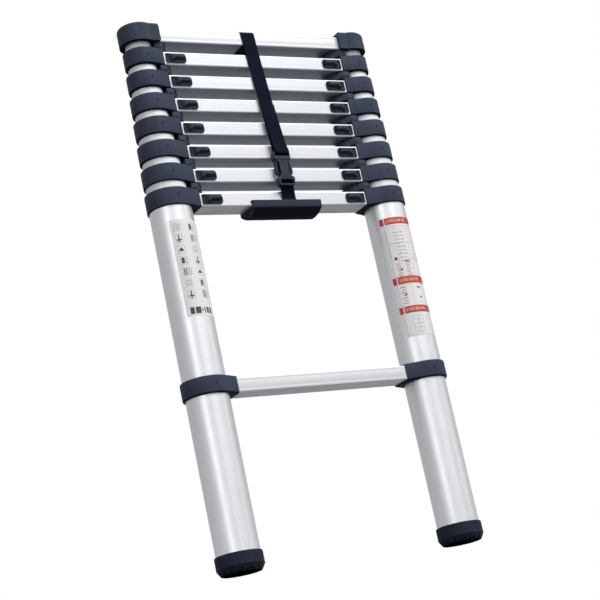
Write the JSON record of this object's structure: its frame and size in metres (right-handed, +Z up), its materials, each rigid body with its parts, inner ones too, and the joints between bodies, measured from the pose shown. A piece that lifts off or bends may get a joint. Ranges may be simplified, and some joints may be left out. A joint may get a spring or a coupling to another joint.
{
  "type": "telescoping ladder",
  "caption": "Telescoping aluminium ladder, closed: nested tube stiles, box-section rungs with thumb-released lock pins, moulded collars, rubber feet, carry handle and retaining strap.",
  "frame": {"origin": "on the floor, midway between the two stiles' axes", "axes": "+Z up along the stiles, +X along the rungs, -Y is the front with the thumb buttons and the strap"},
  "size_m": [0.4708, 0.0752, 0.8795],
  "materials": {
    "tube": "satin anodised, drawn lengthwise",
    "rung": "satin anodised extrusion with fine grooves",
    "collar": "fine moulded grain",
    "button": "satin moulded",
    "grip": "fine moulded grain",
    "foot": "matt moulded rubber with tread grooves",
    "webbing": "flat woven polypropylene webbing"
  },
  "bodies": {
    "base": {"tube_1_left": "tube", "tube_1_right": "tube", "foot_left": "foot", "foot_right": "foot", "lower_rung_with_clamps": "rung", "collar_2_left": "collar", "collar_2_right": "collar", "rung_2": "rung", "carry_handle": "grip", "strap_lower_with_buckle_socket": "webbing"},
    "section_2": {"tube_2_left": "tube", "tube_2_right": "tube", "collar_3_left": "collar", "collar_3_right": "collar", "rung_3": "rung"},
    "section_3": {"tube_3_left": "tube", "tube_3_right": "tube", "collar_4_left": "collar", "collar_4_right": "collar", "rung_4": "rung"},
    "section_4": {"tube_4_left": "tube", "tube_4_right": "tube", "collar_5_left": "collar", "collar_5_right": "collar", "rung_5": "rung"},
    "section_5": {"tube_5_left": "tube", "tube_5_right": "tube", "collar_6_left": "collar", "collar_6_right": "collar", "rung_6": "rung"},
    "section_6": {"tube_6_left": "tube", "tube_6_right": "tube", "collar_7_left": "collar", "collar_7_right": "collar", "rung_7": "rung"},
    "section_7": {"tube_7_left": "tube", "tube_7_right": "tube", "collar_8_left": "collar", "collar_8_right": "collar", "rung_8": "rung"},
    "section_8": {"tube_8_left": "tube", "tube_8_right": "tube", "rung_9": "rung", "top_cap_left": "collar", "top_cap_right": "collar", "strap_upper_with_buckle_prongs": "webbing"},
    "button_2_left": {"release_button_2_left": "button"},
    "button_2_right": {"release_button_2_right": "button"},
    "button_3_left": {"release_button_3_left": "button"},
    "button_3_right": {"release_button_3_right": "button"},
    "button_4_left": {"release_button_4_left": "button"},
    "button_4_right": {"release_button_4_right": "button"},
    "button_5_left": {"release_button_5_left": "button"},
    "button_5_right": {"release_button_5_right": "button"},
    "button_6_left": {"release_button_6_left": "button"},
    "button_6_right": {"release_button_6_right": "button"},
    "button_7_left": {"release_button_7_left": "button"},
    "button_7_right": {"release_button_7_right": "button"},
    "button_8_left": {"release_button_8_left": "button"},
    "button_8_right": {"release_button_8_right": "button"}
  },
  "joints": [
    {"name": "section_2_slide", "type": "slide", "parent": "base", "child": "section_2", "axis": [0, 0, 1], "range_m": [0, 0.2597]},
    {"name": "section_3_slide", "type": "slide", "parent": "section_2", "child": "section_3", "axis": [0, 0, 1], "range_m": [0, 0.2597]},
    {"name": "section_4_slide", "type": "slide", "parent": "section_3", "child": "section_4", "axis": [0, 0, 1], "range_m": [0, 0.2597]},
    {"name": "section_5_slide", "type": "slide", "parent": "section_4", "child": "section_5", "axis": [0, 0, 1], "range_m": [0, 0.2597]},
    {"name": "section_6_slide", "type": "slide", "parent": "section_5", "child": "section_6", "axis": [0, 0, 1], "range_m": [0, 0.2597]},
    {"name": "section_7_slide", "type": "slide", "parent": "section_6", "child": "section_7", "axis": [0, 0, 1], "range_m": [0, 0.2597]},
    {"name": "section_8_slide", "type": "slide", "parent": "section_7", "child": "section_8", "axis": [0, 0, 1], "range_m": [0, 0.2597]},
    {"name": "button_2_left_slide", "type": "slide", "parent": "base", "child": "button_2_left", "axis": [1, 0, 0], "range_m": [0, 0.002], "stiffness_N_per_m": 150},
    {"name": "button_2_right_slide", "type": "slide", "parent": "base", "child": "button_2_right", "axis": [-1, 0, 0], "range_m": [0, 0.002], "stiffness_N_per_m": 150},
    {"name": "button_3_left_slide", "type": "slide", "parent": "section_2", "child": "button_3_left", "axis": [1, 0, 0], "range_m": [0, 0.002], "stiffness_N_per_m": 150},
    {"name": "button_3_right_slide", "type": "slide", "parent": "section_2", "child": "button_3_right", "axis": [-1, 0, 0], "range_m": [0, 0.002], "stiffness_N_per_m": 150},
    {"name": "button_4_left_slide", "type": "slide", "parent": "section_3", "child": "button_4_left", "axis": [1, 0, 0], "range_m": [0, 0.002], "stiffness_N_per_m": 150},
    {"name": "button_4_right_slide", "type": "slide", "parent": "section_3", "child": "button_4_right", "axis": [-1, 0, 0], "range_m": [0, 0.002], "stiffness_N_per_m": 150},
    {"name": "button_5_left_slide", "type": "slide", "parent": "section_4", "child": "button_5_left", "axis": [1, 0, 0], "range_m": [0, 0.002], "stiffness_N_per_m": 150},
    {"name": "button_5_right_slide", "type": "slide", "parent": "section_4", "child": "button_5_right", "axis": [-1, 0, 0], "range_m": [0, 0.002], "stiffness_N_per_m": 150},
    {"name": "button_6_left_slide", "type": "slide", "parent": "section_5", "child": "button_6_left", "axis": [1, 0, 0], "range_m": [0, 0.002], "stiffness_N_per_m": 150},
    {"name": "button_6_right_slide", "type": "slide", "parent": "section_5", "child": "button_6_right", "axis": [-1, 0, 0], "range_m": [0, 0.002], "stiffness_N_per_m": 150},
    {"name": "button_7_left_slide", "type": "slide", "parent": "section_6", "child": "button_7_left", "axis": [1, 0, 0], "range_m": [0, 0.002], "stiffness_N_per_m": 150},
    {"name": "button_7_right_slide", "type": "slide", "parent": "section_6", "child": "button_7_right", "axis": [-1, 0, 0], "range_m": [0, 0.002], "stiffness_N_per_m": 150},
    {"name": "button_8_left_slide", "type": "slide", "parent": "section_7", "child": "button_8_left", "axis": [1, 0, 0], "range_m": [0, 0.002], "stiffness_N_per_m": 150},
    {"name": "button_8_right_slide", "type": "slide", "parent": "section_7", "child": "button_8_right", "axis": [-1, 0, 0], "range_m": [0, 0.002], "stiffness_N_per_m": 150}
  ]
}
